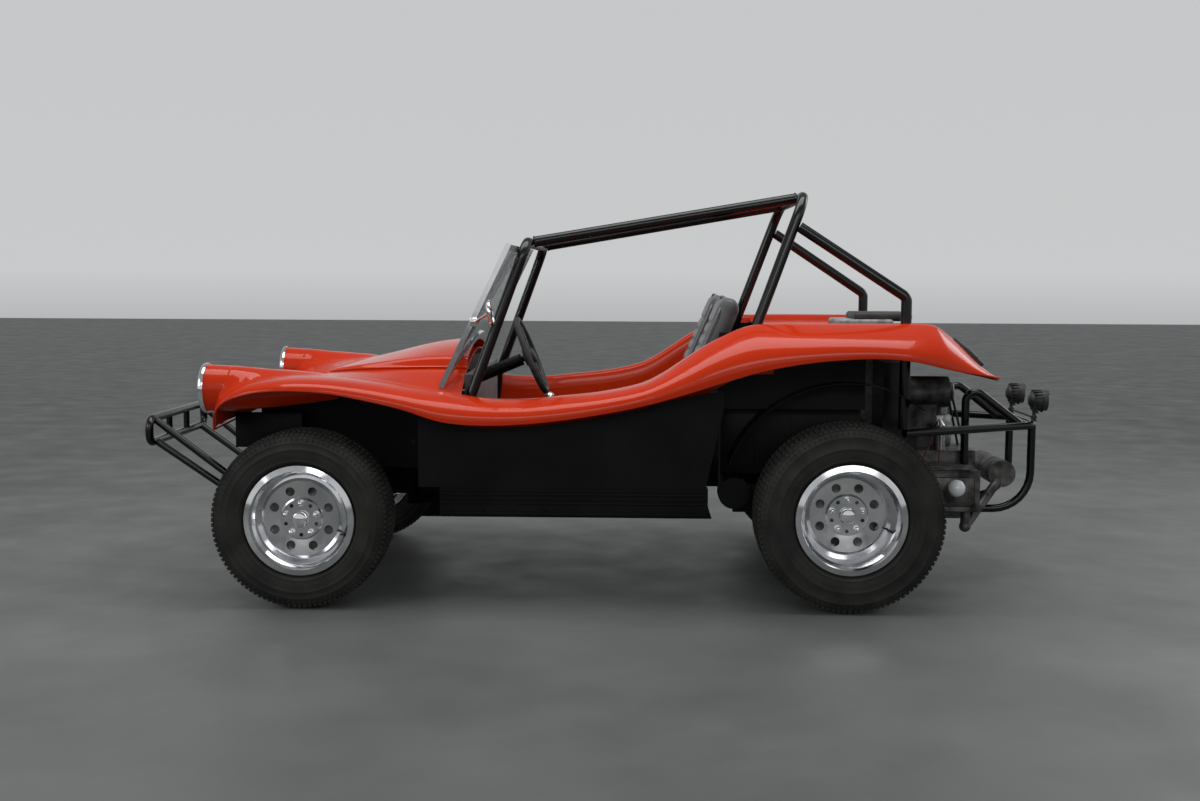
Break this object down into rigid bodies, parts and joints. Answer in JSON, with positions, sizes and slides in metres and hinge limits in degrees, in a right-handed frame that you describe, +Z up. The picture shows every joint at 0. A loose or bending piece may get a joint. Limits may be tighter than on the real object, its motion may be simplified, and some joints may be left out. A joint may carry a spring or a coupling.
{
  "type": "dune buggy",
  "caption": "Open two-seat dune buggy with an orange-red fibreglass body, black roll cage, tube bumpers and polished wheels.",
  "frame": {"origin": "on the ground under the middle of the car, midway between the front bumper and the rear spot lamps", "axes": "+X forward, +Y to the driver's left, +Z up"},
  "size_m": [3.618, 1.6, 1.562],
  "materials": {
    "body_paint": "high gloss orange-red gelcoat over fibreglass",
    "black_satin": "satin black",
    "black_gloss_tube": "gloss black powder coat",
    "chrome": "polished",
    "clear_glass": "clear",
    "lamp_red": "dark red",
    "black_plastic": "fine grain",
    "grey_vinyl": "soft grained vinyl",
    "cast_alloy": "cast, oily",
    "polished_alloy": "polished",
    "tyre_rubber": "matt rubber"
  },
  "bodies": {
    "chassis": {"body_shell": "body_paint", "hood": "body_paint", "dash_panel": "black_plastic", "side_panel_left": "black_satin", "side_panel_right": "black_satin", "rear_tub": "black_satin", "sills": "black_satin", "floor_pan": "black_satin", "windshield_frame": "chrome", "windshield_glass": "clear_glass", "front_hoop": "black_gloss_tube", "main_hoop": "black_gloss_tube", "cage_braces": "black_gloss_tube", "front_bumper": "black_gloss_tube", "rear_bumper": "black_gloss_tube", "headlamps": "chrome", "headlamp_lenses": "clear_glass", "tail_lamps": "lamp_red", "spot_lamps": "black_plastic", "side_mirror": "chrome", "driver_seat": "grey_vinyl", "passenger_seat": "grey_vinyl", "seat_frames": "black_satin", "steering_column": "black_satin", "gear_lever": "chrome", "front_beam": "black_satin", "torsion_housing": "black_satin", "transaxle": "cast_alloy", "engine": "cast_alloy", "fan_shroud": "black_satin", "air_cleaner": "black_plastic", "exhaust": "chrome"},
    "knuckle_left": {"knuckle_left": "black_satin"},
    "knuckle_right": {"knuckle_right": "black_satin"},
    "wheel_front_left": {"rim_front_left": "polished_alloy", "tyre_front_left": "tyre_rubber"},
    "wheel_front_right": {"rim_front_right": "polished_alloy", "tyre_front_right": "tyre_rubber"},
    "wheel_rear_left": {"rim_rear_left": "polished_alloy", "tyre_rear_left": "tyre_rubber"},
    "wheel_rear_right": {"rim_rear_right": "polished_alloy", "tyre_rear_right": "tyre_rubber"},
    "steering_wheel": {"steering_wheel": "black_plastic"},
    "pitman_arm": {"pitman_arm": "black_satin"},
    "tie_rod_left": {"tie_rod_left": "black_satin"},
    "tie_rod_right": {"tie_rod_right": "black_satin"}
  },
  "joints": [
    {"name": "steer_left", "type": "hinge", "parent": "chassis", "child": "knuckle_left", "pos_m": [1.093, 0.6, 0.3315], "axis": [0, 0, 1], "range_deg": [-30, 30]},
    {"name": "steer_right", "type": "hinge", "parent": "chassis", "child": "knuckle_right", "pos_m": [1.093, -0.6, 0.3315], "axis": [0, 0, 1], "range_deg": [-30, 30]},
    {"name": "steering_wheel_turn", "type": "hinge", "parent": "chassis", "child": "steering_wheel", "pos_m": [0.271, 0.265, 0.917], "axis": [-0.9245, 0, 0.3811], "range_deg": [-430, 430]},
    {"name": "pitman_turn", "type": "hinge", "parent": "chassis", "child": "pitman_arm", "pos_m": [1.093, 0.235, 0.4], "axis": [0, 0, 1], "range_deg": [-30, 30]},
    {"name": "tie_rod_left_turn", "type": "hinge", "parent": "knuckle_left", "child": "tie_rod_left", "pos_m": [0.978, 0.6, 0.381], "axis": [0, 0, 1], "range_deg": [-30, 30]},
    {"name": "tie_rod_right_turn", "type": "hinge", "parent": "knuckle_right", "child": "tie_rod_right", "pos_m": [0.978, -0.6, 0.381], "axis": [0, 0, 1], "range_deg": [-30, 30]},
    {"name": "spin_front_left", "type": "hinge", "parent": "knuckle_left", "child": "wheel_front_left", "pos_m": [1.093, 0.7, 0.3315], "axis": [0, 1, 0], "continuous": true},
    {"name": "spin_front_right", "type": "hinge", "parent": "knuckle_right", "child": "wheel_front_right", "pos_m": [1.093, -0.7, 0.3315], "axis": [0, 1, 0], "continuous": true},
    {"name": "spin_rear_left", "type": "hinge", "parent": "chassis", "child": "wheel_rear_left", "pos_m": [-0.939, 0.66, 0.35], "axis": [0, 1, 0], "continuous": true},
    {"name": "spin_rear_right", "type": "hinge", "parent": "chassis", "child": "wheel_rear_right", "pos_m": [-0.939, -0.66, 0.35], "axis": [0, 1, 0], "continuous": true}
  ],
  "couplings": [
    {"joint": "steer_right", "follows": "steer_left", "ratio": 1},
    {"joint": "pitman_turn", "follows": "steer_left", "ratio": 1},
    {"joint": "tie_rod_left_turn", "follows": "steer_left", "ratio": -1},
    {"joint": "tie_rod_right_turn", "follows": "steer_left", "ratio": -1},
    {"joint": "steering_wheel_turn", "follows": "steer_left", "ratio": 14.3}
  ]
}
